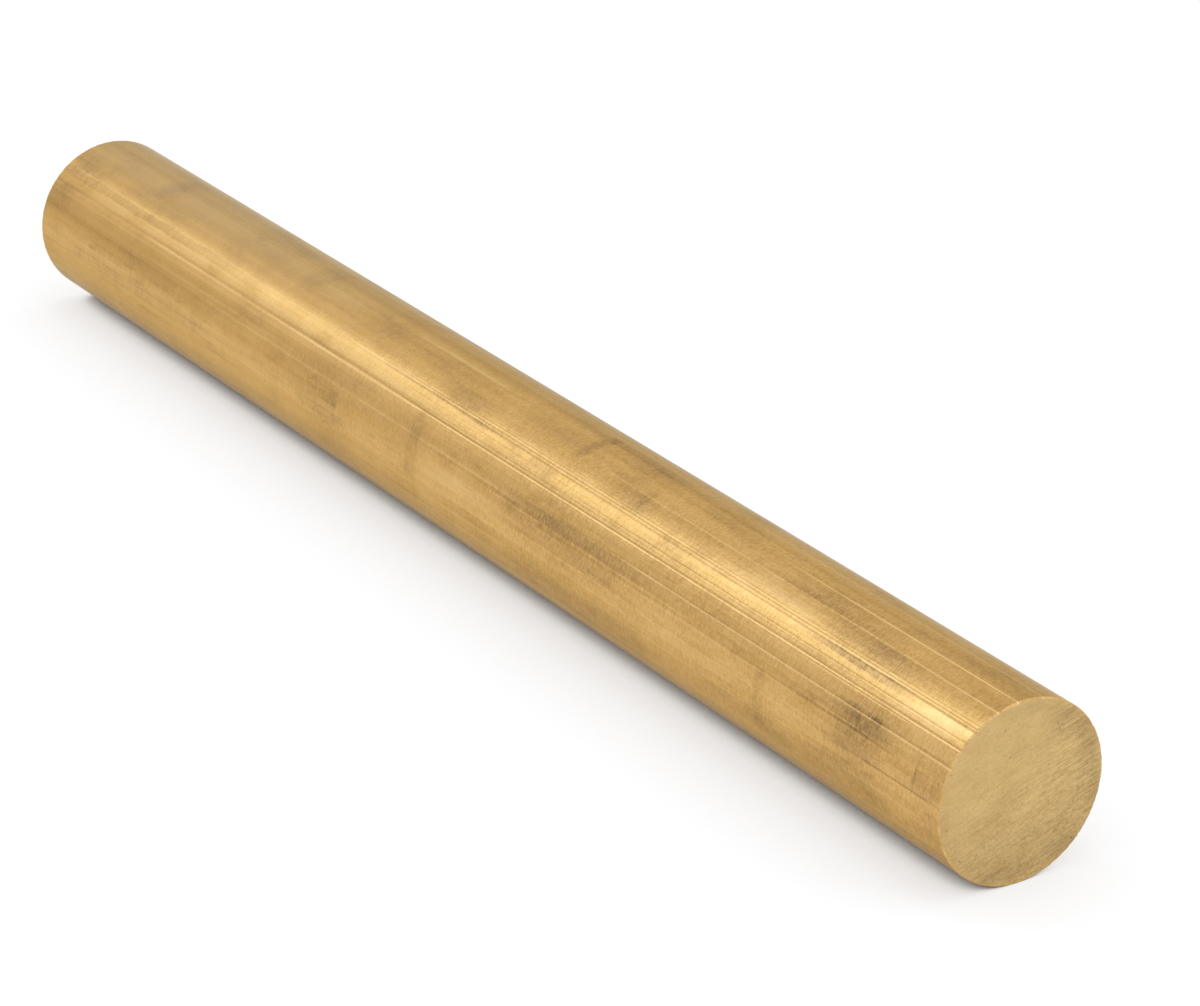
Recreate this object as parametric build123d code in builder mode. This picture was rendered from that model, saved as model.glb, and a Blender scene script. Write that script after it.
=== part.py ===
"""Brass round bar: one solid length of drawn round stock, sawn square at both ends.

The bar lies along X on the floor z = 0, with the middle of its length over the origin.
Its sawn face at +X and its sawn face at -X are alike. All sizes are in millimetres.
"""

import os

from build123d import *

# Driving sizes
BAR_DIAMETER = 31.75  # 1 1/4 in round, as drawn
BAR_LENGTH = 304.8  # 12 in cut length
EDGE_BREAK = 0.25  # sharp edge taken off each sawn end, measured along the bar and across it

# The section stands on the end at -X, its centre one radius above the floor
section_plane = Plane(
    origin=(-BAR_LENGTH / 2, 0, BAR_DIAMETER / 2), x_dir=(0, 1, 0), z_dir=(1, 0, 0)
)

with BuildPart() as round_bar:
    with BuildSketch(section_plane):
        Circle(BAR_DIAMETER / 2)
    extrude(amount=BAR_LENGTH)
    sawn_edges = round_bar.edges().filter_by(GeomType.CIRCLE)
    chamfer(sawn_edges, length=EDGE_BREAK)

round_bar.part.label = "round_bar"

os.makedirs("parts", exist_ok=True)
export_step(round_bar.part, "parts/round_bar.step")
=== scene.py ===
# %% [markdown]
# # A length of drawn brass round bar
#
# Round bar starts as a cast billet. It is extruded hot, then pulled cold through a hardened
# ring, the die, which leaves it round, straight and satin bright. Every speck in the die
# draws one long line down the bar. Then a saw cuts it to length, square across, and the
# sharp edge is knocked off. So the piece has only three finishes to tell apart: the drawn
# skin, the sawn ends and the small broken edge between them.
#
# The first step loads the bar's exact size from its construction model. Everything else
# in this lesson is placed from that box.

# %% Load the frame
from math import cos, pi, radians, sin

import bmesh
import bpy
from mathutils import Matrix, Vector


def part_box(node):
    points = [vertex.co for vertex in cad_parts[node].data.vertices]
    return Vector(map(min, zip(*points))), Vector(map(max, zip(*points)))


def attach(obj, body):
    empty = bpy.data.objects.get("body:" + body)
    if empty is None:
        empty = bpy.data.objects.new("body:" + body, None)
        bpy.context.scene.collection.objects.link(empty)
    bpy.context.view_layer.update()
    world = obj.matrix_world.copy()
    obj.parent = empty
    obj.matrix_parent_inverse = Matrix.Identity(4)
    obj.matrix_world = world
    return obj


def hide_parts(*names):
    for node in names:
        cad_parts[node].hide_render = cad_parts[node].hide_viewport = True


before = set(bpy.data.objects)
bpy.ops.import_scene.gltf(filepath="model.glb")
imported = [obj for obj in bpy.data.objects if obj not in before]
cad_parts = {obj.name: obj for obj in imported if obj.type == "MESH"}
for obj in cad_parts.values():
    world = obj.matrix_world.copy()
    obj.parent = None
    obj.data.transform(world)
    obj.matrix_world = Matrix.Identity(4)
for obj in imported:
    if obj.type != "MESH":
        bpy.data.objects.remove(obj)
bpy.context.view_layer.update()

# %% [markdown]
# ## Sizes
#
# Blender works in metres here, and a workshop in millimetres, so one value, MM, joins the
# two. The bar lies along X on the floor, and its own axis is one radius above the floor. Its
# near end is the one at +X, and its front is the side towards -Y.

# %% Sizes taken from the frame
MM = 0.001
bar_low, bar_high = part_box("round_bar")
LENGTH = bar_high.x - bar_low.x
RADIUS = max(bar_high.y, -bar_low.y)
print(f"bar {LENGTH / MM:.1f} mm long, {2 * RADIUS / MM:.2f} mm across")

# %% [markdown]
# ## Helpers for objects and node trees
#
# A node tree in a script is a list of nodes and of links. This helper adds one node, sets
# its options, and fills each input with either a value or another node's output. The same
# helper builds the shapes and the finishes.
#
# Two shorter helpers do what every object and every material needs first: an object has to
# be linked to the scene's collection before it shows, and a material or world starts with
# nodes of its own, which are cleared away here.
#
# Two kinds of node are used so often that they get a short name: one that does sums, and one
# that maps a range of values to another. SMOOTH makes the second an S-curve.

# %% The helpers
MATH = "ShaderNodeMath"
MAP_RANGE = "ShaderNodeMapRange"
SMOOTH = {"interpolation_type": "SMOOTHSTEP"}


def add(tree, kind, inputs=None, **options):
    """Adds one node. An input takes a plain value, a socket, a node's first output, or a list
    of these where it takes several links."""
    node = tree.nodes.new(kind)
    for name, value in options.items():
        setattr(node, name, value)
    for name, value in (inputs or {}).items():
        if isinstance(name, str):
            socket = next(s for s in node.inputs if s.name == name and s.enabled)
        else:
            socket = node.inputs[name]
        for source in value if isinstance(value, list) else [value]:
            if isinstance(source, bpy.types.Node):
                source = next(s for s in source.outputs if s.enabled)
            if isinstance(source, bpy.types.NodeSocket):
                tree.links.new(source, socket)
            else:
                socket.default_value = source
    return node


def show(name, data):
    """Makes an object of this data and links it to the scene."""
    thing = bpy.data.objects.new(name, data)
    bpy.context.scene.collection.objects.link(thing)
    return thing


def empty_tree(owner):
    """The node tree of a material or a world, with nothing in it yet."""
    owner.use_nodes = True
    owner.node_tree.nodes.clear()
    return owner.node_tree


print("helpers ready: add, show, empty_tree")

# %% [markdown]
# ## Die lines
#
# A die line is a shallow groove that runs dead straight along the bar. It could be painted,
# or made with a bump texture. But paint doesn't catch the light on its flanks, and neither
# of them is there in the mesh. So each line is pressed into the skin as real depth. A
# negative depth makes a low ridge, which is what a chipped die leaves.
#
# The strong ones are listed: the angle down from the top of the bar towards the front,
# where the line starts and stops along the bar, its width and depth, and its tone. A tone
# above 0 paints the line lighter, a painted glint where its flank would catch the light,
# and one below 0 paints it darker along its groove. Each is stored as one vertex of a small
# list mesh, with these values as attributes, because geometry nodes can read attributes in
# a loop. A line fades out over 9 mm, and one that runs off the bar, to NEAR or to FAR, does
# its fading past the end.

# %% The strong die lines
HALF = LENGTH / MM / 2
FADE = 9
FAR, NEAR = -HALF - FADE, HALF + FADE
DIE_LINES = [
    # degrees, from mm, to mm, width mm, depth mm, tone
    (-13, 70, NEAR, 0.5, 0.02, 0.7),
    (-6, FAR, -60, 0.5, 0.015, 0.3),
    (4.6, 90, NEAR, 0.5, -0.022, 1.3),
    (3.2, -30, 8, 0.9, 0.016, 0.4),
    (18.3, 84, 139, 0.5, -0.024, 0.9),
    (18.6, 130, NEAR, 0.5, -0.022, 0.9),
    (18.1, 38, 90, 0.5, -0.018, 0.6),
    (32.2, -22, NEAR, 0.4, -0.014, 0.4),
    (33.4, -14, NEAR, 0.4, 0.016, -0.15),
    (34.6, -40, NEAR, 0.4, -0.012, 0.5),
    (35.2, FAR, -24, 0.8, 0.01, 0),
    (35.8, -30, NEAR, 0.5, 0.028, -0.25),
    (44.2, 38, NEAR, 0.4, 0.016, -0.3),
    (48.6, FAR, 4, 1.1, 0.018, -0.2),
    (49, -16, NEAR, 0.6, 0.036, -0.3),
    (50.3, -118, -2, 0.9, -0.01, 0.5),
    (50, -12, NEAR, 0.5, -0.01, 0),
    (51, 108, 144, 0.4, 0.022, 0.3),
    (60.1, 30, NEAR, 0.5, 0.024, -0.3),
    (61, 56, NEAR, 0.45, -0.02, 0.9),
    (61.4, -112, -34, 0.7, 0.02, 0.2),
    (66, -90, 30, 0.6, 0.012, 0.2),
    (69.6, 16, 86, 0.5, -0.018, 0.7),
    (69.6, 112, 140, 0.4, -0.014, 0.6),
    (71, 86, 140, 0.5, 0.022, -0.35),
    (72.6, 56, NEAR, 0.5, -0.014, 0.3),
    (83.2, 28, 72, 0.5, -0.015, 0.6),
    (84.2, 60, 132, 0.4, 0.012, 0.3),
    (84.4, 128, HALF + 3, 0.45, 0.05, -0.9),
    (86, -140, -20, 0.8, 0.01, -0.1),
    (93, -150, 10, 0.7, 0.014, 0.1),
    (97.4, 36, NEAR, 0.5, 0.018, 0.3),
    (110, 60, NEAR, 0.6, 0.02, 0),
    (122, 70, NEAR, 0.6, 0.026, 0.3),
    (158, FAR, 90, 0.6, 0.03, -0.3),
    (-38, FAR, 40, 0.6, 0.03, 0.3),
    (-57, -60, NEAR, 0.5, 0.034, -0.4),
    (-60, FAR, NEAR, 0.7, 0.04, 0.5),
    (-84, FAR, 20, 0.6, 0.03, 0.4),
    (-112, -20, NEAR, 0.6, 0.034, -0.5),
    (-146, FAR, 120, 0.6, 0.028, 0.3),
]
LINE_UNITS = {
    "around": pi / 180, "start": MM, "stop": MM, "width": MM, "depth": MM, "tone": 1}
line_list = bpy.data.meshes.new("die_line_list")
line_list.from_pydata([(0, 0, 0)] * len(DIE_LINES), [], [])
for (name, unit), column in zip(LINE_UNITS.items(), zip(*DIE_LINES)):
    attribute = line_list.attributes.new(name, "FLOAT", "POINT")
    attribute.data.foreach_set("value", [unit * value for value in column])
line_holder = show("die_line_list", line_list)
print(len(DIE_LINES), "strong die lines, the deepest", max(line[4] for line in DIE_LINES), "mm")

# %% [markdown]
# ## The geometry node tree of the bar
#
# The bar follows a rule from end to end, so one tree makes all of it:
#
# 1. a fine tube of columns and rings is laid along X, and its last ring is drawn in at 45
#    degrees, which will be the broken edge;
# 2. a loop presses each die line into it;
# 3. a block with a furrowed face at each end stands for what the saw left;
# 4. the two are intersected, so the furrows run out over the rim as they do on real stock;
# 5. skin and ends get their finishes by the way their faces point.
#
# The tree's sizes are its named inputs.

# %% The tree and its inputs
tree = bpy.data.node_groups.new("drawn_and_sawn_bar", "GeometryNodeTree")
INPUTS = {
    "Length": ("NodeSocketFloat", LENGTH),
    "Radius": ("NodeSocketFloat", RADIUS),
    "Columns": ("NodeSocketInt", 1080),
    "Rings": ("NodeSocketInt", 56),
    "Edge Break": ("NodeSocketFloat", 0.24 * MM),
    "Fine Lines": ("NodeSocketInt", 90),
    "Saw Angle": ("NodeSocketFloat", radians(17)),
    "Furrow Pitch": ("NodeSocketFloat", 0.30 * MM),
    "Furrow Depth": ("NodeSocketFloat", 0.030 * MM),
    "Seed": ("NodeSocketInt", 7),
    "Die Lines": ("NodeSocketObject", line_holder),
    "Skin Finish": ("NodeSocketMaterial", None),
    "Sawn Finish": ("NodeSocketMaterial", None),
}
identifiers = {}
for name, (kind, value) in INPUTS.items():
    socket = tree.interface.new_socket(name, in_out="INPUT", socket_type=kind)
    identifiers[name] = socket.identifier
tree.interface.new_socket("Bar", in_out="OUTPUT", socket_type="NodeSocketGeometry")
size = add(tree, "NodeGroupInput").outputs
print("tree inputs:", ", ".join(INPUTS))

# %% [markdown]
# ### The tube
#
# Mesh Cylinder stands upright, with its height from -0.5 to 0.5. Twice that height, t, is
# the place along X as a share of the half length. All rings but the last at each end are
# spread evenly up to where the edge break starts. The last ring lies past the end and
# closer to the axis. The break is a little uneven, because it is done by hand with a file.

# %% The tube, laid down along X
tube = add(tree, "GeometryNodeMeshCylinder", {
    "Vertices": size["Columns"], "Side Segments": size["Rings"], "Fill Segments": 1,
    "Radius": size["Radius"], "Depth": 1}, fill_type="NGON")
place = add(tree, "GeometryNodeInputPosition")
upright_x, upright_y, upright_z = add(tree, "ShaderNodeSeparateXYZ", {"Vector": place}).outputs
t = add(tree, MATH, {0: upright_z, 1: 2}, operation="MULTIPLY")
distance = add(tree, MATH, {0: t}, operation="ABSOLUTE")
side = add(tree, MATH, {0: t}, operation="SIGN")
half_length = add(tree, MATH, {0: size["Length"], 1: 0.5}, operation="MULTIPLY")
segment = add(tree, MATH, {0: 2, 1: size["Rings"]}, operation="DIVIDE")
last_even = add(tree, MATH, {0: 1, 1: segment}, operation="SUBTRACT")
rim_noise = add(tree, "ShaderNodeTexNoise", {
    "Vector": place, "Scale": 900, "Detail": 3, "Roughness": 0.7})
uneven = add(tree, MAP_RANGE, {
    "Value": rim_noise, "From Min": 0.25, "From Max": 0.8, "To Min": 0.5, "To Max": 1.6})
edge_break = add(tree, MATH, {0: size["Edge Break"], 1: uneven}, operation="MULTIPLY")
break_start = add(tree, MATH, {0: half_length, 1: edge_break}, operation="SUBTRACT")
break_end = add(tree, MATH, {0: half_length, 1: edge_break}, operation="ADD")
evenly = add(tree, MAP_RANGE, {"Value": distance, "From Max": last_even, "To Max": break_start})
is_last = add(tree, MATH, {0: distance, 1: 0.999}, operation="GREATER_THAN")
along = add(tree, "ShaderNodeMix", {"Factor": is_last, "A": evenly, "B": break_end})
signed_along = add(tree, MATH, {0: along, 1: side}, operation="MULTIPLY")
narrowing = add(tree, MATH, {0: edge_break, 1: -2}, operation="MULTIPLY")
last_ratio = add(tree, MATH, {0: narrowing, 1: size["Radius"]}, operation="DIVIDE")
ratio = add(tree, MATH, {0: last_ratio, 1: is_last, 2: 1}, operation="MULTIPLY_ADD")
across = add(tree, MATH, {0: upright_x, 1: ratio}, operation="MULTIPLY")
height = add(tree, MATH, {0: upright_y, 1: ratio, 2: size["Radius"]}, operation="MULTIPLY_ADD")
laid = add(tree, "ShaderNodeCombineXYZ", {"X": signed_along, "Y": across, "Z": height})
skin = add(tree, "GeometryNodeSetPosition", {"Geometry": tube.outputs["Mesh"], "Position": laid})
print("columns are", round(2 * pi * RADIUS / INPUTS["Columns"][1] / MM, 3), "mm apart")

# %% [markdown]
# ### The fine lines
#
# Between the strong lines lie many faint ones. Nobody would place them by hand, so the
# points of a mesh line get random sizes with a fixed seed, and are joined to the list.

# %% Random fine lines join the list
listed = add(tree, "GeometryNodeObjectInfo", {"Object": size["Die Lines"]})
listing = add(tree, "GeometryNodeMeshLine", {"Count": size["Fine Lines"]})
FINE_RANGES = {
    "around": (-pi, pi),
    "start": (-0.9 * LENGTH, 0.35 * LENGTH),
    "run": (0.15 * LENGTH, 0.9 * LENGTH),
    "width": (0.28 * MM, 0.55 * MM),
    "depth": (-0.004 * MM, 0.008 * MM),
    "tone": (-0.25, 0.25),
}
for step, (name, (low, high)) in enumerate(FINE_RANGES.items()):
    seed = add(tree, MATH, {0: size["Seed"], 1: 10.0 * step}, operation="ADD")
    chance = add(tree, "FunctionNodeRandomValue", {"Min": low, "Max": high, "Seed": seed})
    listing = add(tree, "GeometryNodeStoreNamedAttribute", {
        "Geometry": listing, "Name": name, "Value": chance})
fine_start = add(tree, "GeometryNodeInputNamedAttribute", {"Name": "start"})
fine_run = add(tree, "GeometryNodeInputNamedAttribute", {"Name": "run"})
fine_stop = add(tree, MATH, {0: fine_start, 1: fine_run}, operation="ADD")
listing = add(tree, "GeometryNodeStoreNamedAttribute", {
    "Geometry": listing, "Name": "stop", "Value": fine_stop})
all_lines = add(tree, "GeometryNodeJoinGeometry", {
    "Geometry": [listed.outputs["Geometry"], listing]})
line_count = add(tree, "GeometryNodeAttributeDomainSize", {"Geometry": all_lines})
print(INPUTS["Fine Lines"][1], "fine lines join", len(DIE_LINES), "strong ones")

# %% [markdown]
# ### Which line, and how far away
#
# A Repeat Zone runs the same nodes once for each line in the list. It reads that line's
# values by the number of the round, and measures how far each vertex of the skin is from
# the line: around the bar in line widths, and along it from the line's two ends.

# %% The loop reads a line and measures from it
loop_in = add(tree, "GeometryNodeRepeatInput", {"Iterations": line_count.outputs["Point Count"]})
loop_out = add(tree, "GeometryNodeRepeatOutput")
loop_in.pair_with_output(loop_out)
tree.links.new(skin.outputs["Geometry"], loop_in.inputs["Geometry"])
round_number = loop_in.outputs["Iteration"]
line = {}
for name in LINE_UNITS:
    stored = add(tree, "GeometryNodeInputNamedAttribute", {"Name": name})
    line[name] = add(tree, "GeometryNodeSampleIndex", {
        "Geometry": all_lines, "Value": stored, "Index": round_number})

axis_up = add(tree, "ShaderNodeCombineXYZ", {"Z": size["Radius"]})
from_axis = add(tree, "ShaderNodeVectorMath", {
    0: add(tree, "GeometryNodeInputPosition"), 1: axis_up}, operation="SUBTRACT")
x, y, z = add(tree, "ShaderNodeSeparateXYZ", {"Vector": from_axis}).outputs
forward = add(tree, MATH, {0: y, 1: -1}, operation="MULTIPLY")
angle = add(tree, MATH, {0: forward, 1: z}, operation="ARCTAN2")
angle_off = add(tree, MATH, {0: angle, 1: line["around"]}, operation="SUBTRACT")
angle_off = add(tree, MATH, {0: angle_off, 1: pi, 2: -pi}, operation="WRAP")
arc = add(tree, MATH, {0: angle_off, 1: size["Radius"]}, operation="MULTIPLY")
arc = add(tree, MATH, {0: arc}, operation="ABSOLUTE")
widths = add(tree, MATH, {0: arc, 1: line["width"]}, operation="DIVIDE")

start_full = add(tree, MATH, {0: line["start"], 1: FADE * MM}, operation="ADD")
stop_full = add(tree, MATH, {0: line["stop"], 1: FADE * MM}, operation="SUBTRACT")
fade_in = add(tree, MAP_RANGE, {
    "Value": x, "From Min": line["start"], "From Max": start_full}, **SMOOTH)
fade_out = add(tree, MAP_RANGE, {
    "Value": x, "From Min": stop_full, "From Max": line["stop"],
    "To Min": 1, "To Max": 0}, **SMOOTH)
presence = add(tree, MATH, {0: fade_in, 1: fade_out}, operation="MULTIPLY")
print("a line fades over", FADE, "mm")

# %% [markdown]
# ### Pressing the line in
#
# The groove is deepest in the middle and has a low lip on each side, where the metal was
# thrown up. Its depth wavers along the way, because the die wore and was cleaned. The same
# round stores how much lighter or darker the line is painted, as the attribute line_tone,
# and the skin's finish reads that later; the lighter lines are painted glints. Colour and
# shape can't drift apart that way.

# %% The loop presses the line and stores its tone
groove = add(tree, MAP_RANGE, {
    "Value": widths, "From Max": 0.5, "To Min": -1, "To Max": 0}, **SMOOTH)
lip_off = add(tree, MATH, {0: widths, 1: 0.6}, operation="SUBTRACT")
lip_off = add(tree, MATH, {0: lip_off}, operation="ABSOLUTE")
lip = add(tree, MAP_RANGE, {
    "Value": lip_off, "From Max": 0.35, "To Min": 0.22, "To Max": 0}, **SMOOTH)
profile = add(tree, MATH, {0: groove, 1: lip}, operation="ADD")
waver = add(tree, "ShaderNodeTexNoise", {
    "Vector": from_axis, "W": round_number, "Scale": 40, "Detail": 1},
    noise_dimensions="4D")
waver = add(tree, MAP_RANGE, {
    "Value": waver, "From Min": 0.3, "From Max": 0.7, "To Min": 0.55, "To Max": 1.25})
strength = add(tree, MATH, {0: presence, 1: waver}, operation="MULTIPLY")
push = add(tree, MATH, {0: profile, 1: strength}, operation="MULTIPLY")
push = add(tree, MATH, {0: push, 1: line["depth"]}, operation="MULTIPLY")
flat_out = add(tree, "ShaderNodeVectorMath", {0: from_axis, 1: (0, 1, 1)}, operation="MULTIPLY")
outwards = add(tree, "ShaderNodeVectorMath", {0: flat_out}, operation="NORMALIZE")
offset = add(tree, "ShaderNodeVectorMath", {0: outwards, "Scale": push}, operation="SCALE")
tone_before = add(tree, "GeometryNodeInputNamedAttribute", {"Name": "line_tone"})
tone_share = add(tree, MATH, {0: groove, 1: strength}, operation="MULTIPLY")
tone_share = add(tree, MATH, {0: tone_share, 1: line["tone"]}, operation="MULTIPLY")
tone_after = add(tree, MATH, {0: tone_before, 1: tone_share}, operation="SUBTRACT")
toned = add(tree, "GeometryNodeStoreNamedAttribute", {
    "Geometry": loop_in.outputs["Geometry"], "Name": "line_tone", "Value": tone_after})
pressed = add(tree, "GeometryNodeSetPosition", {"Geometry": toned, "Offset": offset})
tree.links.new(pressed.outputs["Geometry"], loop_out.inputs["Geometry"])
print("loop nodes linked, the tree has", len(tree.nodes), "nodes so far")

# %% [markdown]
# ### What the saw left
#
# A band saw goes through the bar in one direction, and each tooth leaves a furrow. The
# furrows are parallel and slant a little, because the bar was not held level with the
# blade. They bite deeper on one side, where the blade broke out and chattered.
#
# A Mesh Cube with only two vertices along X and hundreds across the furrows is a block
# whose end faces can be furrowed: noise that is stretched along the furrows is just such a
# pattern. The depth of each furrow is stored too, as the attribute furrow, so that dirt can
# lie where the metal is really low. The block is then turned by the saw's angle.

# %% The block between the two cuts
BLOCK_SPAN = 2.3  # in radii, so that the block is wider than the bar at any turn
FURROW_STRETCH = 0.08  # how fast the noise changes along a furrow, where across it is 1
block_across = add(tree, MATH, {0: size["Radius"], 1: BLOCK_SPAN}, operation="MULTIPLY")
block_size = add(tree, "ShaderNodeCombineXYZ", {
    "X": size["Length"], "Y": block_across, "Z": block_across})
block = add(tree, "GeometryNodeMeshCube", {
    "Size": block_size, "Vertices X": 2, "Vertices Y": 36, "Vertices Z": 480})
place = add(tree, "GeometryNodeInputPosition")
x, y, z = add(tree, "ShaderNodeSeparateXYZ", {"Vector": place}).outputs
end_side = add(tree, MATH, {0: x}, operation="SIGN")
lengthwise = add(tree, MATH, {0: y, 1: FURROW_STRETCH}, operation="MULTIPLY")
pattern = add(tree, "ShaderNodeCombineXYZ", {"X": end_side, "Y": lengthwise, "Z": z})
per_pitch = add(tree, MATH, {0: 1, 1: size["Furrow Pitch"]}, operation="DIVIDE")
furrows = add(tree, "ShaderNodeTexNoise", {"Vector": pattern, "Scale": per_pitch, "Detail": 1})
per_wave = add(tree, MATH, {0: 0.1, 1: size["Furrow Pitch"]}, operation="DIVIDE")
waves = add(tree, "ShaderNodeTexNoise", {"Vector": pattern, "Scale": per_wave, "Detail": 1})
sideways = add(tree, MATH, {0: y, 1: size["Radius"]}, operation="DIVIDE")
bite = add(tree, MAP_RANGE, {
    "Value": sideways, "From Min": 0.1, "From Max": 0.95, "To Min": 0.15, "To Max": 1.5},
    **SMOOTH)
furrow_low = add(tree, MAP_RANGE, {"Value": furrows, "From Min": 0.40, "From Max": 0.70}, **SMOOTH)
furrow = add(tree, MATH, {0: furrow_low, 1: bite}, operation="MULTIPLY")
cut_depth = add(tree, MATH, {0: waves, 1: 0.8, 2: furrow}, operation="MULTIPLY_ADD")
cut_depth = add(tree, MATH, {0: cut_depth, 1: size["Furrow Depth"]}, operation="MULTIPLY")
inwards = add(tree, MATH, {0: end_side, 1: -1}, operation="MULTIPLY")
cut_shift = add(tree, MATH, {0: cut_depth, 1: inwards}, operation="MULTIPLY")
cut_offset = add(tree, "ShaderNodeCombineXYZ", {"X": cut_shift})
stored = add(tree, "GeometryNodeStoreNamedAttribute", {
    "Geometry": block.outputs["Mesh"], "Name": "furrow", "Value": furrow})
block = add(tree, "GeometryNodeSetPosition", {"Geometry": stored, "Offset": cut_offset})
saw_turn = add(tree, "ShaderNodeCombineXYZ", {"X": size["Saw Angle"]})
turned = add(tree, "GeometryNodeTransform", {
    "Geometry": block, "Rotation": saw_turn, "Translation": axis_up})
print("furrows", INPUTS["Furrow Pitch"][1] / MM, "mm apart, up to",
      1.5 * INPUTS["Furrow Depth"][1] / MM, "mm deep")

# %% [markdown]
# ### Skin and block, intersected
#
# Only what lies in both stays: the skin between the cuts. The cut makes new vertices, which
# know nothing of the two attributes. So each vertex of the result asks the nearest point of
# the skin for line_tone, and the nearest point of the block for furrow.

# %% Intersection, with the attributes carried over
bar = add(tree, "GeometryNodeMeshBoolean", {
    1: [loop_out, turned]}, operation="INTERSECT", solver="MANIFOLD").outputs["Mesh"]
for name, source in (("line_tone", loop_out), ("furrow", turned)):
    wanted = add(tree, "GeometryNodeInputNamedAttribute", {"Name": name})
    found = add(tree, "GeometryNodeSampleNearestSurface", {"Mesh": source, "Value": wanted})
    bar = add(tree, "GeometryNodeStoreNamedAttribute", {
        "Geometry": bar, "Name": name, "Value": found})
print("attributes on the bar: line_tone, furrow")

# %% [markdown]
# ### Shading and finishes
#
# The faces that point along the bar are sawn metal, and all others are skin, with the
# broken edge among them, since a file leaves it as smooth. Smooth shading runs over the
# skin and over the furrows, and stops at any edge sharper than a furrow's flank.

# %% Smooth shading, then the two finishes
smooth = add(tree, "GeometryNodeSetShadeSmooth", {
    "Geometry": bar, "Shade Smooth": True}, domain="FACE")
SHARP = radians(30)
edge_angle = add(tree, "GeometryNodeInputMeshEdgeAngle")
is_sharp = add(tree, "FunctionNodeCompare", {
    0: edge_angle.outputs["Unsigned Angle"], 1: SHARP}, operation="GREATER_THAN")
creased = add(tree, "GeometryNodeSetShadeSmooth", {
    "Geometry": smooth, "Selection": is_sharp, "Shade Smooth": False}, domain="EDGE")
whole = add(tree, "GeometryNodeRealizeInstances", {"Geometry": creased})
skinned = add(tree, "GeometryNodeSetMaterial", {
    "Geometry": whole, "Material": size["Skin Finish"]})
facing = add(tree, "ShaderNodeSeparateXYZ", {"Vector": add(tree, "GeometryNodeInputNormal")})
facing_end = add(tree, MATH, {0: facing.outputs["X"]}, operation="ABSOLUTE")
is_end = add(tree, "FunctionNodeCompare", {0: facing_end, 1: 0.8}, operation="GREATER_THAN")
finished = add(tree, "GeometryNodeSetMaterial", {
    "Geometry": skinned, "Selection": is_end, "Material": size["Sawn Finish"]})
add(tree, "NodeGroupOutput", {"Bar": finished})
print("nodes in the bar's tree:", len(tree.nodes))

# %% [markdown]
# ## Colours
#
# Shaders add and multiply light, so they need linear values. People write colours as sRGB
# hex. One function turns the second into the first.

# %% sRGB hex to linear
def linear(hex_colour):
    """The linear colour, with alpha, of an sRGB hex string such as "C9A265"."""
    parts = [int(hex_colour[i:i + 2], 16) / 255 for i in (0, 2, 4)]
    curved = [p / 12.92 if p <= 0.04045 else ((p + 0.055) / 1.055) ** 2.4 for p in parts]
    return (*curved, 1)


TARNISH = linear("6E5643")
print("tarnish, linear:", [round(part, 3) for part in TARNISH[:3]])

# %% [markdown]
# ## Patterns with real sizes
#
# Every pattern here is noise, and what tells one from another is how long and how wide its
# grains are. So a pattern is written as a row: the grain's size in mm along each axis, how
# much finer detail it has, and how rough that detail is. The coordinates are divided by
# these sizes, which lets the noise itself run at a scale of 1.
#
# They are Object coordinates, moved to the bar's axis, and turned about it where a pattern
# has to follow the saw.

# %% From a table of sizes to noise nodes
def millimetres(tree, turn=0.0):
    """Object coordinates in mm, measured from the bar's axis and turned about it."""
    where = add(tree, "ShaderNodeTexCoord")
    drop = RADIUS / MM
    return add(tree, "ShaderNodeMapping", {
        "Vector": where.outputs["Object"], "Location": (0, sin(turn) * drop, -cos(turn) * drop),
        "Rotation": (turn, 0, 0), "Scale": (1 / MM, 1 / MM, 1 / MM)})


def noises(tree, place, rows):
    """Noise nodes by name. A row holds the grain's size along x, y and z in mm, the detail
    and the roughness."""
    made = {}
    for name, (x_mm, y_mm, z_mm, detail, roughness) in rows.items():
        scaled = add(tree, "ShaderNodeMapping", {
            "Vector": place, "Scale": (1 / x_mm, 1 / y_mm, 1 / z_mm)})
        made[name] = add(tree, "ShaderNodeTexNoise", {
            "Vector": scaled, "Scale": 1, "Detail": detail, "Roughness": roughness})
    return made


def balance(tree, start, terms):
    """Start plus (pattern - 0.5) times weight, for each pattern and its weight."""
    total = start
    for pattern, weight in terms:
        level = add(tree, MATH, {
            0: pattern, 1: weight, 2: -0.5 * weight}, operation="MULTIPLY_ADD")
        total = add(tree, MATH, {0: total, 1: level}, operation="ADD")
    return total


print("pattern helpers ready: millimetres, noises, balance")

# %% [markdown]
# ## Drawn brass: the patterns of the skin
#
# This is free-cutting brass, cold drawn and never polished. The die leaves a satin that is
# smoother along the bar than around it. The eye reads "drawn" from straight hairlines far
# longer than they are wide, and "metal that was handled" from small specks and from cross
# marks, where bars rubbed against each other in the rack.

# %% The skin's coordinates and noises
skin_metal = bpy.data.materials.new("cold_drawn_brass")
skin_tree = empty_tree(skin_metal)
skin_place = millimetres(skin_tree)
SKIN_NOISES = {
    # name: length, width, width in mm, detail, roughness
    "hairlines": (50, 0.42, 0.42, 3, 0.68),
    "fine_hairs": (9, 0.22, 0.22, 1, 0.6),
    "threads": (130, 1.9, 1.9, 0, 0.5),
    "bands": (200, 3.2, 3.2, 2, 0.55),
    "rings": (7, 60, 60, 3, 0.65),
    "specks": (0.50, 0.38, 0.38, 3, 0.7),
    "cross_marks": (0.42, 1.2, 1.2, 2, 0.6),
    "mottle": (1.6, 2.4, 2.4, 3, 0.65),
    "streaks": (14, 0.8, 0.8, 3, 0.7),
}
noise = noises(skin_tree, skin_place, SKIN_NOISES)
print("skin noises:", ", ".join(noise))
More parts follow.
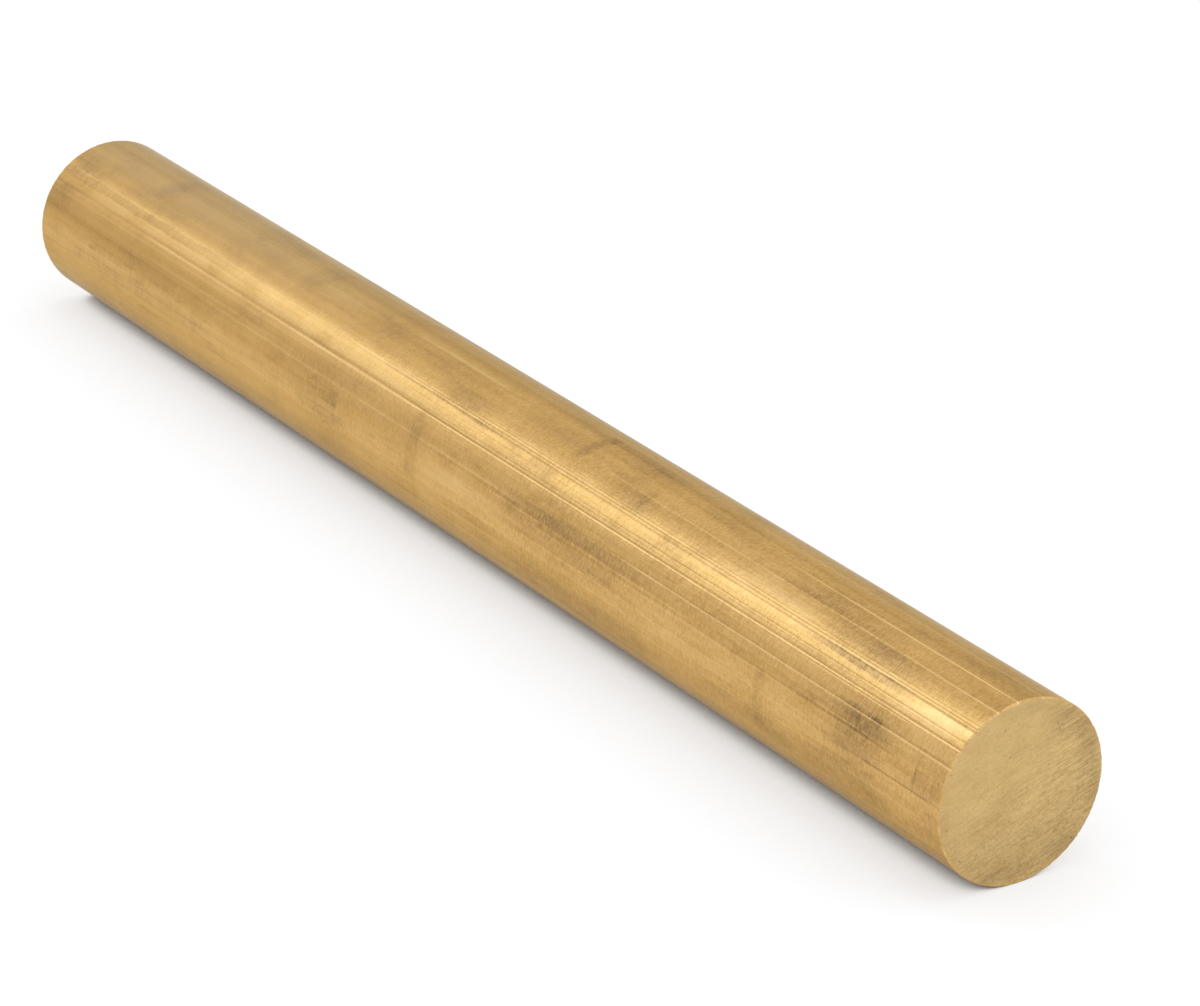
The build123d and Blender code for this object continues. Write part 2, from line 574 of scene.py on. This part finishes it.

# %% [markdown]
# ## Lanes
#
# Look at drawn bar closely, and its tarnish stops dead at some of the die lines. Each strip
# between two lines was pressed a little harder or softer, and takes tarnish and finger
# marks a little differently. The strips are called lanes here. Some lane tones are painted
# light: lighter from 49 to 66 degrees, a painted spread of the highlight next to them, and
# from 76 to 116, a painted reflection of the bright sheet; darker from 66 to 76, a painted
# reflection of the grey horizon, and from 124 to 158 along the underside, painted shade
# where the bar meets the sheet.
#
# The angle around the axis, from -180 to 180 degrees, runs through a Color Ramp with
# constant steps. One value per lane comes out, 0.5 for a plain one.

# %% Angle around the bar, and a tone for each lane
# Painted light among these tones: lighter 49 to 66 and 76 to 116, darker 66 to 76 and 124 to 158.
LANE_TONES_AND_PAINTED_LIGHT = [
    # start in degrees, tone
    (-180, 0.50), (-150, 0.62), (-112, 0.44), (-84, 0.56), (-60, 0.42), (-38, 0.52),
    (-14, 0.51), (4.6, 0.50), (18.4, 0.46), (33.5, 0.49), (49.2, 0.58), (60.6, 0.60),
    (66, 0.42), (72.6, 0.46), (76, 0.55), (79.5, 0.64), (84, 0.71), (91, 0.53), (97.4, 0.62),
    (116, 0.50), (124, 0.34), (131, 0.12), (158, 0.50),
]
skin_x, skin_y, skin_z = add(skin_tree, "ShaderNodeSeparateXYZ", {"Vector": skin_place}).outputs
forward = add(skin_tree, MATH, {0: skin_y, 1: -1}, operation="MULTIPLY")
around = add(skin_tree, MATH, {0: forward, 1: skin_z}, operation="ARCTAN2")
turn_share = add(skin_tree, MATH, {0: around, 1: 1 / (2 * pi), 2: 0.5}, operation="MULTIPLY_ADD")
lane = add(skin_tree, "ShaderNodeValToRGB", {"Fac": turn_share})
steps = lane.color_ramp
steps.interpolation = "CONSTANT"
steps.elements.remove(steps.elements[1])
for degrees, tone in LANE_TONES_AND_PAINTED_LIGHT:
    stop = steps.elements[0] if degrees == -180 else steps.elements.new((degrees + 180) / 360)
    stop.color = (tone, tone, tone, 1)
print(len(LANE_TONES_AND_PAINTED_LIGHT), "lanes around the bar")

# %% [markdown]
# ## Placed marks
#
# Some stains can be named one by one: the dark thumb-sized one by the near end, a long one
# in the middle, and a few rings where a strap lay. Each is a block on the unrolled skin,
# soft at its two ends and sharper at the sides, where a lane stops it. A negative strength
# is a spot that was rubbed clean. The three on the highlight band, at 42 to 45 degrees, are
# painted highlight that makes the band lighter, and the one by the near end is cleaner
# metal too. The long ones on the far half, at 38, 71 and 86 degrees, make it darker along
# those bands.
#
# The distance from a mark's centre, taken along and around the bar, fades out near the half
# size, and the two fades multiplied make the block. Stains get a wavering outline, by adding
# a little streaky noise to their coordinates, and the rings of a strap stay straight.

# %% The marks and how they add up
MARKS = [
    # along mm, degrees, half length mm, half width in degrees, strength
    # near end
    (129.8, 64.5, 5, 6.5, 0.33), (129, 66, 9, 6, 0.14), (129.5, 57, 4.5, 4, 0.14),
    (129.5, 78, 5.5, 7, 0.34), (129, 91, 5, 6.5, 0.2), (127, 108, 10, 11, 0.1),
    (148.5, 77, 5, 6.5, 0.2), (148, 64, 5, 5.5, 0.14), (150, 97, 4, 13, 0.12),
    (127, 25.5, 7, 7, 0.24), (119, 26.5, 8, 7, 0.14), (124.5, 37.8, 12, 2.3, 0.36),
    (109, 12.5, 13, 6, 0.12), (105.5, 10, 3, 8.5, 0.1), (149.5, 14, 4, 4.5, 0.12),
    (128, -3, 7, 5.5, 0.1), (145, -5, 8, 7, 0.1), (104.5, 104, 4.5, 7.5, 0.1),
    # middle
    (44, 65.8, 20, 4.6, 0.32), (7, 36.3, 9, 1.2, 0.22), (45, 77.5, 17, 6.5, 0.22),
    (45, 91, 15, 6.5, 0.08), (46, 109, 20, 11, 0.2), (46, -9.5, 15, 4, 0.28),
    (47, 0, 14, 4.5, 0.1), (26, 12, 9, 6.5, 0.16), (53, 26, 6, 7, 0.2), (1, 27, 6, 7, 0.2),
    (-12, 12, 10, 6.5, 0.1), (14, 71, 12, 4, 0.12),
    # faint ones, dark and clean
    (66, 83, 56, 10, -0.07), (82, 54, 72, 4.5, -0.05), (142, 54, 8, 5, -0.08),
    (111, 101.5, 12, 5.5, 0.12), (30, 97, 30, 3.5, -0.07), (34, 61, 24, 2, -0.08),
    (35, 46.3, 24, 1.2, 0.14), (141, 81, 6, 2.5, 0.07), (141, 95, 6, 1.8, 0.12),
    (-9, 67, 13, 5, 0.07), (-9, 101, 13, 6, -0.08),
    # far half
    (-36.5, 77, 6, 6.5, 0.1), (-38, 61, 8, 10.5, 0.1), (-37, 90, 6.5, 6, 0.09),
    (-36, 110, 7, 12, 0.13), (-31, 12, 5.5, 7, 0.14), (-46, 66, 9, 5, 0.08),
    (-119, 26, 7, 7, 0.12), (-146, 27, 6, 7, 0.14), (-112, 71, 32, 8, 0.09),
    (-125, 38, 34, 3.4, 0.2), (-147, 57, 5.5, 9, 0.17), (-46, 79, 6, 5, 0.14),
    # rubbed clean, painted highlight at 42 to 45 degrees, and one wide darker patch
    (98, 25, 11, 6, -0.16), (144, 42, 9, 5.5, -0.22), (145, 66, 9, 5, -0.12),
    (-112, 45, 34, 4, -0.13), (-40, 43.5, 34, 3, -0.09), (-114, 86, 34, 8, 0.13),
    (9, 76, 13, 8, -0.16), (-9, 2, 12, 2.5, -0.14), (-52, 12, 7, 6, -0.12),
    # back and underside
    (-90, 158, 16, 9, 0.24), (60, -70, 20, 8, 0.24), (-40, -95, 12, 11, 0.28),
    (110, -128, 15, 12, 0.24), (-118, -49, 9, 10, 0.22), (20, 174, 24, 12, 0.2),
]
RINGS = [
    # the same columns, for straight marks around the bar
    (145.3, 71.5, 0.3, 10.5, 0.18), (103.5, 84, 1.3, 13, 0.16), (33.5, 2, 1.3, 17, 0.24),
    (55.5, 22, 0.9, 9, 0.2), (58, 78, 1.5, 6, 0.1), (-6.5, 61, 1.8, 11, 0.2),
    (-6, 84, 2.2, 11, 0.14), (-62, 1, 3, 18, 0.16), (-120, 1, 3, 18, 0.2),
    (-32, 0, 2, 18, 0.1), (-34, 76, 1.5, 6, 0.14), (40, 174, 3, 20, 0.18),
]


def marks(tree, place, listed, soft, sharp):
    """Adds up soft-edged blocks. Along its first axis a block fades over soft, a share of
    its half size, and along the second over sharp. Only plain numbers are used: Cycles
    works them out mark by mark, while it would hold all vectors at once and run full."""
    placed = add(tree, "ShaderNodeSeparateXYZ", {"Vector": place}).outputs
    total = 0.0
    for x, y, half_x, half_y, strength in listed:
        sides = []
        for axis, centre, half, fade, height in (
                ("X", x, half_x, soft, strength), ("Y", y, half_y, sharp, 1)):
            off = add(tree, MATH, {0: placed[axis], 1: centre}, operation="SUBTRACT")
            off = add(tree, MATH, {0: off}, operation="ABSOLUTE")
            sides.append(add(tree, MAP_RANGE, {
                "Value": off, "From Min": half * (1 + fade), "From Max": half * (1 - fade),
                "To Max": height}, **SMOOTH))
        total = add(tree, MATH, {0: sides[0], 1: sides[1], 2: total}, operation="MULTIPLY_ADD")
    return total


degrees_around = add(skin_tree, MATH, {0: around, 1: 180 / pi}, operation="MULTIPLY")
unrolled = add(skin_tree, "ShaderNodeCombineXYZ", {"X": skin_x, "Y": degrees_around})
ragged = add(skin_tree, "ShaderNodeVectorMath", {
    0: noise["streaks"].outputs["Color"], 1: (0.5, 0.5, 0.5)}, operation="SUBTRACT")
WAVER_REACH = (8, 5, 0)  # mm along the bar, degrees around it
wavering = add(skin_tree, "ShaderNodeVectorMath", {
    0: ragged, 1: WAVER_REACH, 2: unrolled}, operation="MULTIPLY_ADD")
# The negative marks at 42 to 45 degrees are painted highlight on the highlight band.
stains_and_painted_highlight = marks(skin_tree, wavering, MARKS, 0.8, 0.16)
rings = marks(skin_tree, unrolled, RINGS, 0.6, 0.3)
marked = add(skin_tree, MATH, {0: stains_and_painted_highlight, 1: rings}, operation="ADD")
print(len(MARKS), "placed marks,", sum(1 for mark in MARKS if mark[4] < 0), "of them clean, and",
      len(RINGS), "straight rings")

# %% [markdown]
# ## The skin's colour
#
# Bare brass comes first, between a darker and a lighter tone. Most patterns meet in one sum
# that picks the place between the two. The finest of them fade towards the far end, which
# lay deeper in the rack and was rubbed less. The lane tones in that sum also bring the
# painted reflection and painted shade of some lanes.
#
# Then tarnish covers some of it: clouds that jump at each lane, plus the placed marks,
# broken up by mottling so that no stain has an even fill. The die lines add the tone that
# their grooves stored, with its painted glints, and the filed edge has lost its tarnish.
# Where the sum is negative it mixes towards a pale polished brass instead: metal cleaner
# than average, and painted highlight on the highlight band and along the glinting lines. A
# pale grey is painted over the top of the far half, a painted reflection of the pale
# surroundings, which makes it lighter and greyer.

# %% Bare metal, clouds and stains
wear = add(skin_tree, MAP_RANGE, {
    "Value": skin_x, "From Min": -80, "From Max": 40, "To Min": 0.35})
fine_tone = balance(skin_tree, 0, [
    (noise["hairlines"], 0.30), (noise["fine_hairs"], 0.20), (noise["specks"], 0.8),
    (noise["cross_marks"], 0.9)])
fine_tone = add(skin_tree, MATH, {0: fine_tone, 1: wear}, operation="MULTIPLY")
tone = balance(skin_tree, fine_tone, [
    (noise["threads"], 0.42), (noise["bands"], 0.42), (noise["rings"], 0.30), (lane, 0.8)])
tone = add(skin_tree, MATH, {0: tone, 1: 0.5}, operation="ADD", use_clamp=True)
# Through the lane tones this mix also paints reflection and shade along some lanes.
bare_and_painted_light = add(skin_tree, "ShaderNodeMix", {
    "Factor": tone, "A": linear("B08748"), "B": linear("E8BE7C")}, data_type="RGBA")

LANE_JUMP = (300, 0, 0)  # mm that the clouds are moved by, for a whole step of tone
lane_along = add(skin_tree, "ShaderNodeCombineXYZ", {"X": lane})
cloud_place = add(skin_tree, "ShaderNodeVectorMath", {
    0: lane_along, 1: LANE_JUMP, 2: skin_place}, operation="MULTIPLY_ADD")
clouds = noises(skin_tree, cloud_place, {"clouds": (16, 7, 7, 4, 0.65)})["clouds"]
cloud_cover = add(skin_tree, MAP_RANGE, {
    "Value": clouds, "From Min": 0.46, "From Max": 0.76, "To Max": 0.24}, **SMOOTH)
breakup = balance(skin_tree, 1, [
    (noise["mottle"], 1.4), (noise["streaks"], 0.5), (noise["rings"], -0.6),
    (noise["specks"], -0.9), (noise["cross_marks"], -1.1)])
line_tone = add(skin_tree, "ShaderNodeAttribute", attribute_name="line_tone").outputs["Fac"]
# Line tone above 0 is a painted glint and becomes negative cover here; below 0 it darkens the
# groove.
line_glints_and_dark_lines = add(skin_tree, MATH, {0: line_tone, 1: -0.6}, operation="MULTIPLY")
# Tarnish cover; below 0 it is cleaner metal and painted highlight.
tarnish_and_painted_highlight = add(skin_tree, MATH, {0: marked, 1: cloud_cover}, operation="ADD")
tarnish_and_painted_highlight = add(skin_tree, MATH, {0: tarnish_and_painted_highlight, 1: breakup, 2: line_glints_and_dark_lines}, operation="MULTIPLY_ADD")
end_near = add(skin_tree, MATH, {0: skin_x}, operation="ABSOLUTE")
filed = add(skin_tree, MAP_RANGE, {
    "Value": end_near, "From Min": HALF - 0.45, "From Max": HALF - 0.25})
tarnish_and_painted_highlight = add(skin_tree, MATH, {0: filed, 1: -0.25, 2: tarnish_and_painted_highlight}, operation="MULTIPLY_ADD")
stained = add(skin_tree, "ShaderNodeClamp", {"Value": tarnish_and_painted_highlight})
# The negative part: cleaner metal, and painted highlight on the band and the glinting lines.
rubbed_and_painted_highlight = add(skin_tree, MATH, {0: tarnish_and_painted_highlight, 1: -1}, operation="MULTIPLY", use_clamp=True)
tarnished = add(skin_tree, "ShaderNodeMix", {
    "Factor": stained, "A": bare_and_painted_light, "B": TARNISH}, data_type="RGBA")
polished_and_painted_highlight = add(skin_tree, "ShaderNodeMix", {
    "Factor": rubbed_and_painted_highlight, "A": tarnished, "B": linear("FFE0A4")}, data_type="RGBA")
# Painted reflection: a pale grey over the top of the far half, lighter and greyer there.
painted_far_top_reflection = marks(skin_tree, unrolled, [(-125, -8, 70, 30, 0.17)], 0.8, 0.6)
skin_colour = add(skin_tree, "ShaderNodeMix", {
    "Factor": painted_far_top_reflection, "A": polished_and_painted_highlight, "B": linear("DCD2BE")}, data_type="RGBA")
print("noises in the colour of the skin:", len(SKIN_NOISES) + 1)

# %% [markdown]
# ## The skin's gloss and relief
#
# Metalness is 1, so the base colour is the colour of the reflection. The specular tint acts
# only at grazing angles, where plain metal would turn white, and brass with a thin brown
# film stays a little golden. Hairlines make the gloss longer around the bar than along it.
# That is what Anisotropic gives, with a lengthwise tangent turned by a quarter: a soft, wide
# highlight.
#
# Hairlines and specks are also relief, a few hundredths of a millimetre deep. That breaks
# the highlight into bright threads, which a smooth satin would never show.

# %% Roughness, bump and the shader of the skin
skin_roughness = balance(skin_tree, 0.29, [(noise["specks"], 0.16), (noise["hairlines"], 0.08)])
for layer, weight in ((stained, 0.20), (filed, 0.25)):
    skin_roughness = add(skin_tree, MATH, {
        0: layer, 1: weight, 2: skin_roughness}, operation="MULTIPLY_ADD")
fine_relief = balance(skin_tree, 0, [(noise["specks"], 0.45), (noise["fine_hairs"], 0.2)])
fine_relief = add(skin_tree, MATH, {0: fine_relief, 1: wear}, operation="MULTIPLY")
skin_relief = balance(skin_tree, fine_relief, [(noise["hairlines"], 0.38)])
skin_bump = add(skin_tree, "ShaderNodeBump", {"Height": skin_relief, "Distance": 0.045 * MM})
lengthwise = add(skin_tree, "ShaderNodeCombineXYZ", {"X": 1})
skin_shader = add(skin_tree, "ShaderNodeBsdfPrincipled", {
    "Base Color": skin_colour, "Metallic": 1, "Roughness": skin_roughness,
    "Normal": skin_bump, "Specular Tint": linear("DAD4C2"), "Anisotropic": 0.4,
    "Anisotropic Rotation": 0.25, "Tangent": lengthwise})
add(skin_tree, "ShaderNodeOutputMaterial", {"Surface": skin_shader})
print("skin finish:", skin_metal.name, "with", len(skin_tree.nodes), "nodes")

# %% [markdown]
# ## Sawn brass: patterns of the ends
#
# The sawn face is the same metal without its skin. It has not tarnished, and torn metal
# scatters light, so it looks paler and duller. Everything on it follows the blade, so its
# coordinates are turned by the saw's angle: short dashes from single teeth, a few long dark
# scratches from a chipped one, slashes where the blade chattered, and an open grain with
# small pits.

# %% The ends' coordinates and noises
sawn_metal = bpy.data.materials.new("band_sawn_brass")
sawn_tree = empty_tree(sawn_metal)
sawn_place = millimetres(sawn_tree, -INPUTS["Saw Angle"][1])
sawn_noise = noises(sawn_tree, sawn_place, {
    # name: along the bar, along the furrows, across them in mm, detail, roughness
    "dashes": (5, 1.8, 0.30, 3, 0.7),
    "scratches": (5, 16, 0.26, 1, 0.4),
    "slashes": (5, 3.4, 0.17, 1, 0.6),
    "grain": (5, 0.40, 0.28, 3, 0.7),
    "patches": (9, 7, 4, 2, 0.5),
    "pits": (5, 0.7, 0.6, 0, 0.5),
})
print("sawn noises:", ", ".join(sawn_noise))

# %% [markdown]
# ## The ends' colour
#
# The geometry left the attribute furrow, high where a tooth bit deep, and dirt sits there.
# The marks add grey where the blade broke out at the rim, and the wide one across the bottom
# is painted shade, which makes the face darker towards the sheet. Scratches and pits are
# noise cut off at a threshold: only its lowest or highest few percent show. The slashes are
# noise raised to the third power, which keeps the thin extremes and flattens the rest, and
# they stay on the side where the blade chattered. The grain is coarser towards the lower
# back.

# %% Pale metal, dirt in the furrows, pits
RIM_MARKS_AND_PAINTED_SHADE = [
    # across mm, up mm, half sizes in mm, strength
    (8.8, 10.4, 3, 2.2, 0.17), (12.8, 4.8, 1.8, 4.8, 0.18), (14.4, -1.5, 1, 4, 0.13),
    (8.5, -11.6, 4, 1.8, 0.14), (-3.5, -13.4, 4.5, 1.1, 0.14), (0, 14.2, 4, 1, 0.12),
    # The last one, wide across the bottom, is painted shade: darker towards the sheet.
    (-14.6, -1, 0.8, 4, 0.06), (2, -14, 22, 9, 0.13),
]
furrow_dirt = add(sawn_tree, "ShaderNodeAttribute", attribute_name="furrow").outputs["Fac"]
level = add(sawn_tree, "ShaderNodeSeparateXYZ", {"Vector": millimetres(sawn_tree)}).outputs
face_place = add(sawn_tree, "ShaderNodeCombineXYZ", {"X": level["Y"], "Y": level["Z"]})
# Grey rim marks, plus painted shade along the bottom of the face.
rim_grey_and_painted_shade = marks(sawn_tree, face_place, RIM_MARKS_AND_PAINTED_SHADE, 0.7, 0.7)
scratched = add(sawn_tree, MAP_RANGE, {
    "Value": sawn_noise["scratches"], "From Min": 0.41, "From Max": 0.35}, **SMOOTH)
low_zone = marks(sawn_tree, face_place, [(2, -8, 18, 11, 1)], 0.4, 0.5)
scratched = add(sawn_tree, MATH, {0: scratched, 1: low_zone}, operation="MULTIPLY")
pitted = add(sawn_tree, MAP_RANGE, {
    "Value": sawn_noise["pits"], "From Min": 0.80, "From Max": 0.84})
DOWN_AND_BACK = (0.55, -0.83, 0)
low_back = add(sawn_tree, "ShaderNodeVectorMath", {
    0: face_place, 1: DOWN_AND_BACK}, operation="DOT_PRODUCT").outputs["Value"]
coarser = add(sawn_tree, MAP_RANGE, {
    "Value": low_back, "From Min": -10, "From Max": 8, "To Min": 0.5, "To Max": 1.2})
torn = balance(sawn_tree, 0, [(sawn_noise["dashes"], 1.1), (sawn_noise["grain"], 1.4)])
torn = add(sawn_tree, MATH, {0: torn, 1: coarser, 2: 0.5}, operation="MULTIPLY_ADD")
chatter_zone = marks(sawn_tree, face_place, [(10.8, 6, 4.6, 6.5, 1)], 0.7, 0.7)
slash = add(sawn_tree, MATH, {0: sawn_noise["slashes"], 1: 4, 2: -2}, operation="MULTIPLY_ADD")
chatter = add(sawn_tree, MATH, {0: slash, 1: 3}, operation="POWER")
torn = add(sawn_tree, MATH, {0: chatter, 1: chatter_zone, 2: torn}, operation="MULTIPLY_ADD")
sawn_tone = balance(sawn_tree, torn, [(sawn_noise["patches"], 0.5)])
sawn_bare = add(sawn_tree, "ShaderNodeMix", {
    "Factor": sawn_tone, "A": linear("B9975D"), "B": linear("E9CA8F")},
    data_type="RGBA", clamp_factor=True)
# Dirt in furrows, scratches and pits, plus the painted shade along the bottom.
dirt_and_painted_shade = rim_grey_and_painted_shade
for layer, weight in ((furrow_dirt, 0.14), (scratched, 0.13), (pitted, 0.35)):
    dirt_and_painted_shade = add(sawn_tree, MATH, {0: layer, 1: weight, 2: dirt_and_painted_shade}, operation="MULTIPLY_ADD")
sawn_colour = add(sawn_tree, "ShaderNodeMix", {
    "Factor": dirt_and_painted_shade, "A": sawn_bare, "B": linear("5E4E38")}, data_type="RGBA",
    clamp_factor=True)
print(len(RIM_MARKS_AND_PAINTED_SHADE), "grey marks at the rim")

# %% [markdown]
# ## The ends' gloss and relief
#
# One roughness for the whole face is enough, set on the shader itself. The relief is the
# dashes and the grain, which break up the long furrows of the geometry.

# %% Bump and the shader of the ends
sawn_relief = balance(sawn_tree, 0, [(sawn_noise["dashes"], 1), (sawn_noise["grain"], 0.6)])
sawn_bump = add(sawn_tree, "ShaderNodeBump", {"Height": sawn_relief, "Distance": 0.05 * MM})
sawn_shader = add(sawn_tree, "ShaderNodeBsdfPrincipled", {
    "Base Color": sawn_colour, "Metallic": 1, "Roughness": 0.5, "Normal": sawn_bump})
add(sawn_tree, "ShaderNodeOutputMaterial", {"Surface": sawn_shader})
print("sawn finish:", sawn_metal.name, "with", len(sawn_tree.nodes), "nodes")

# %% [markdown]
# ## Making the bar
#
# The tree is evaluated once, on a helper object whose own mesh is empty, and the result is
# copied to a plain mesh. The helper goes away, so no modifier is left on the piece. The
# tree's inputs are set by their identifiers, since names can repeat.
#
# An intersection of two fine meshes can leave a few slivers with next to no area. They are
# dissolved, and the mesh is checked: a closed surface has two faces at every edge.

# %% Evaluate the tree and keep the mesh
INPUTS["Skin Finish"] = ("NodeSocketMaterial", skin_metal)
INPUTS["Sawn Finish"] = ("NodeSocketMaterial", sawn_metal)
grower = show("grower", bpy.data.meshes.new("seed"))
modifier = grower.modifiers.new("bar", "NODES")
modifier.node_group = tree
for name, (kind, value) in INPUTS.items():
    modifier[identifiers[name]] = value
evaluated = grower.evaluated_get(bpy.context.evaluated_depsgraph_get())
bar_mesh = bpy.data.meshes.new_from_object(evaluated)
bar_mesh.name = "brass_round_bar"
for helper in (grower, line_holder):
    bpy.data.objects.remove(helper)

SLIVER = 0.0005 * MM
cleaned = bmesh.new()
cleaned.from_mesh(bar_mesh)
bmesh.ops.dissolve_degenerate(cleaned, dist=SLIVER, edges=cleaned.edges)
bmesh.ops.triangulate(cleaned, faces=[face for face in cleaned.faces if len(face.verts) > 3])
open_edges = sum(1 for edge in cleaned.edges if len(edge.link_faces) != 2)
cleaned.to_mesh(bar_mesh)
cleaned.free()
brass_bar = show("brass_round_bar", bar_mesh)
triangles = sum(len(face.vertices) - 2 for face in bar_mesh.polygons)
print("bar:", len(bar_mesh.vertices), "vertices,", triangles, "triangles,", open_edges,
      "edges without two faces,", [finish.name for finish in bar_mesh.materials])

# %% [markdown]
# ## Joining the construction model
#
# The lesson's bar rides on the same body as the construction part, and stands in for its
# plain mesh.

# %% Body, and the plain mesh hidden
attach(brass_bar, "root")
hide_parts("round_bar")
print("brass_round_bar rides on root and stands in for round_bar")

# %% [markdown]
# ## Floor
#
# The bar lies on a white sheet. Metal mirrors whatever is around it, so the sheet must be
# just as white in a reflection as it is to the camera. Light Path tells which kind of ray
# has hit it. For camera, glossy and transmission rays the diffuse paper, which takes the
# bar's shadow, is darker, and a plain white is added to it.
#
# Where the bar touches the sheet, hardly any light gets in. An Ambient Occlusion node
# measures the open share of the sky above each point, and the plain white fades out with
# it. That thin dark line is what makes the bar look heavy and set down.

# %% A white sheet
FLOOR_HALF = 6.0
PAPER_WHITE, PLAIN_WHITE = 0.42, 0.58
floor_mesh = bpy.data.meshes.new("floor")
corners = [(-FLOOR_HALF, -FLOOR_HALF), (FLOOR_HALF, -FLOOR_HALF),
           (FLOOR_HALF, FLOOR_HALF), (-FLOOR_HALF, FLOOR_HALF)]
floor_mesh.from_pydata([(x, y, 0) for x, y in corners], [], [(0, 1, 2, 3)])
floor = show("floor", floor_mesh)

paper = bpy.data.materials.new("white_paper")
paper_tree = empty_tree(paper)
path = add(paper_tree, "ShaderNodeLightPath").outputs
seen = add(paper_tree, MATH, {
    0: path["Is Camera Ray"], 1: path["Is Glossy Ray"]}, operation="MAXIMUM")
seen = add(paper_tree, MATH, {0: seen, 1: path["Is Transmission Ray"]}, operation="MAXIMUM")
paper_tone = add(paper_tree, MAP_RANGE, {"Value": seen, "To Min": 1, "To Max": PAPER_WHITE})
paper_colour = add(paper_tree, "ShaderNodeCombineColor", {
    "Red": paper_tone, "Green": paper_tone, "Blue": paper_tone})
sheet = add(paper_tree, "ShaderNodeBsdfDiffuse", {"Color": paper_colour})
open_sky = add(paper_tree, "ShaderNodeAmbientOcclusion", {
    "Distance": 60 * MM}, samples=16).outputs["AO"]
plain_level = add(paper_tree, MAP_RANGE, {
    "Value": open_sky, "From Min": 0.09, "From Max": 0.31, "To Max": PLAIN_WHITE}, **SMOOTH)
lift = add(paper_tree, MATH, {0: seen, 1: plain_level}, operation="MULTIPLY")
plain = add(paper_tree, "ShaderNodeEmission", {"Color": (1, 1, 1, 1), "Strength": lift})
together = add(paper_tree, "ShaderNodeAddShader", {0: sheet, 1: plain})
add(paper_tree, "ShaderNodeOutputMaterial", {"Surface": together})
floor_mesh.materials.append(paper)
print("floor", 2 * FLOOR_HALF, "m wide,", PAPER_WHITE, "paper and", PLAIN_WHITE, "plain white")

# %% [markdown]
# ## World
#
# A studio dome: white overhead and a little greyer at the horizon. On a round bar the
# horizon shows as one darker band along each side, between the bright sheet below and the
# bright dome above. Without that band drawn stock looks like painted plaster.

# %% The dome
HORIZON = linear("ECECEC")
world = bpy.data.worlds.new("studio")
bpy.context.scene.world = world
sky = empty_tree(world)
direction = add(sky, "ShaderNodeTexCoord")
up = add(sky, "ShaderNodeSeparateXYZ", {"Vector": direction.outputs["Generated"]})
rise = add(sky, MAP_RANGE, {"Value": up.outputs["Z"], "From Max": 0.85}, **SMOOTH)
dome = add(sky, "ShaderNodeMix", {
    "Factor": rise, "A": HORIZON, "B": linear("FFFFFF")}, data_type="RGBA")
background = add(sky, "ShaderNodeBackground", {"Color": dome})
add(sky, "ShaderNodeOutputWorld", {"Surface": background})
print("horizon, linear:", round(HORIZON[0], 3), "of the white overhead")

# %% [markdown]
# ## Soft boxes
#
# The dome alone gives the soft, even shadow of a light tent. Soft boxes hang flat in it: a
# long one above each end of the table, on opposite sides, and a narrow one straight above
# the bar. The mirror image of a box is a bright band along the bar, with straight edges,
# since a flat panel and a straight bar keep them straight. The two long boxes are turned a
# little, so their bands drift around the bar on the way. From most sides one of the three
# shows, and without such a band brass looks like varnished wood.
#
# An area lamp's energy is its brightness times pi times its area. The white of the dome is
# 1, and a box's brightness adds to what is behind it.

# %% Soft boxes
COOL_WHITE = (0.88, 1.05, 1.30)
SOFT_BOXES = {
    # name: place, turn in degrees, length along the bar, width, brightness
    "front_box": ((-1.13, -0.51, 1), 10, 1.15, 0.47, 1.41),
    "back_box": ((1.13, 0.51, 1), 10, 1.15, 0.47, 1.41),
    "top_box": ((0, 0, 1.15), 0, 0.80, 0.30, 1.27),
}
for name, (place, turn, length, width, brightness) in SOFT_BOXES.items():
    box_data = bpy.data.lights.new(name, "AREA")
    box_data.shape = "RECTANGLE"
    box_data.size, box_data.size_y = length, width
    box_data.energy = brightness * pi * length * width
    box_data.color = COOL_WHITE
    box = show(name, box_data)
    box.location = place
    box.rotation_euler = (0, 0, radians(turn))
    box.visible_camera = False
    print(name, round(box_data.energy, 2), "W")

# %% [markdown]
# ## Camera
#
# The camera looks down on the near end from the front, over a long lens, as one stands to
# check a bar for straightness. Its place is given by two angles, a distance and the point
# that it looks at.

# %% Camera
AZIMUTH, ELEVATION = radians(57.18), radians(23.90)
DISTANCE = 829.4 * MM
AIM = Vector((11.96, 13.18, 9.31)) * MM
toward_camera = Vector((sin(AZIMUTH) * cos(ELEVATION), -cos(AZIMUTH) * cos(ELEVATION),
                        sin(ELEVATION)))
camera_data = bpy.data.cameras.new("camera")
camera_data.lens = 138.5
camera_data.sensor_width = 36.0
camera_data.clip_end = 50.0
camera = show("camera", camera_data)
camera.location = AIM + toward_camera * DISTANCE
camera.rotation_euler = (-toward_camera).to_track_quat("-Z", "Y").to_euler()
bpy.context.scene.camera = camera
bpy.context.scene.view_settings.view_transform = "Standard"
print("camera at", [round(c / MM, 1) for c in camera.location], "mm")
